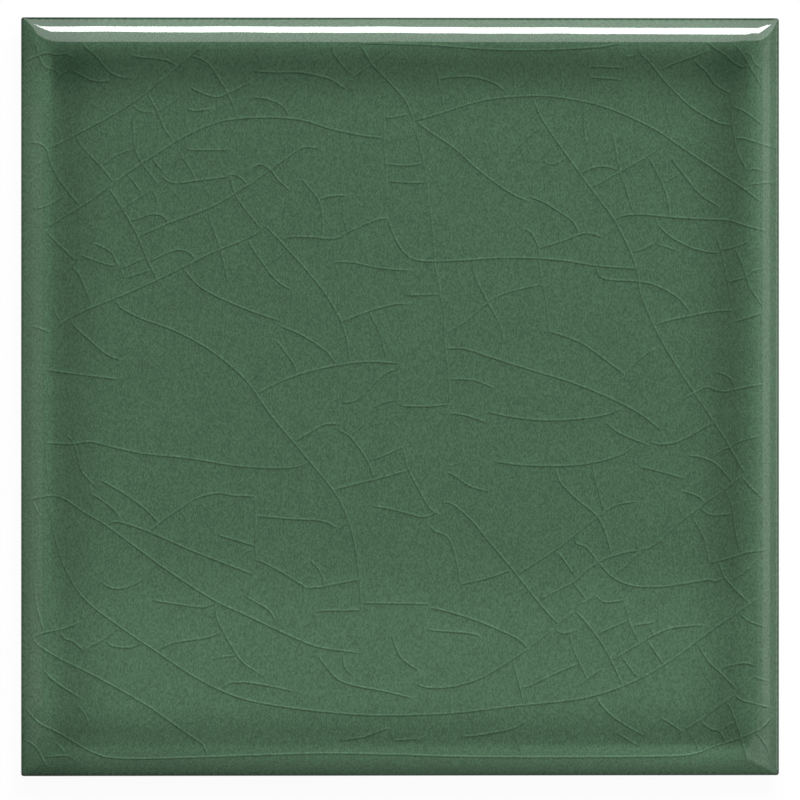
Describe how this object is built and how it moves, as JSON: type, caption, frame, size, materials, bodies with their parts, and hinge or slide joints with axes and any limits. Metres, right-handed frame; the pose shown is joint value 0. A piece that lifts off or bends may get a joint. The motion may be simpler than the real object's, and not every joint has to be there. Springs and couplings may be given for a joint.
{
  "type": "plain square tile",
  "caption": "Plain square wall tile of glazed ceramic, with softly rounded cushion edges, a crackled green glaze on its face and a keyed back that beds in adhesive.",
  "frame": {"origin": "middle of the back, on the plane the tile lies on", "axes": "+Z out of the glazed face, X and Y along the sides"},
  "size_m": [0.148, 0.148, 0.008],
  "materials": {
    "glaze": "gloss"
  },
  "bodies": {
    "root": {"tile": "glaze"}
  },
  "joints": []
}
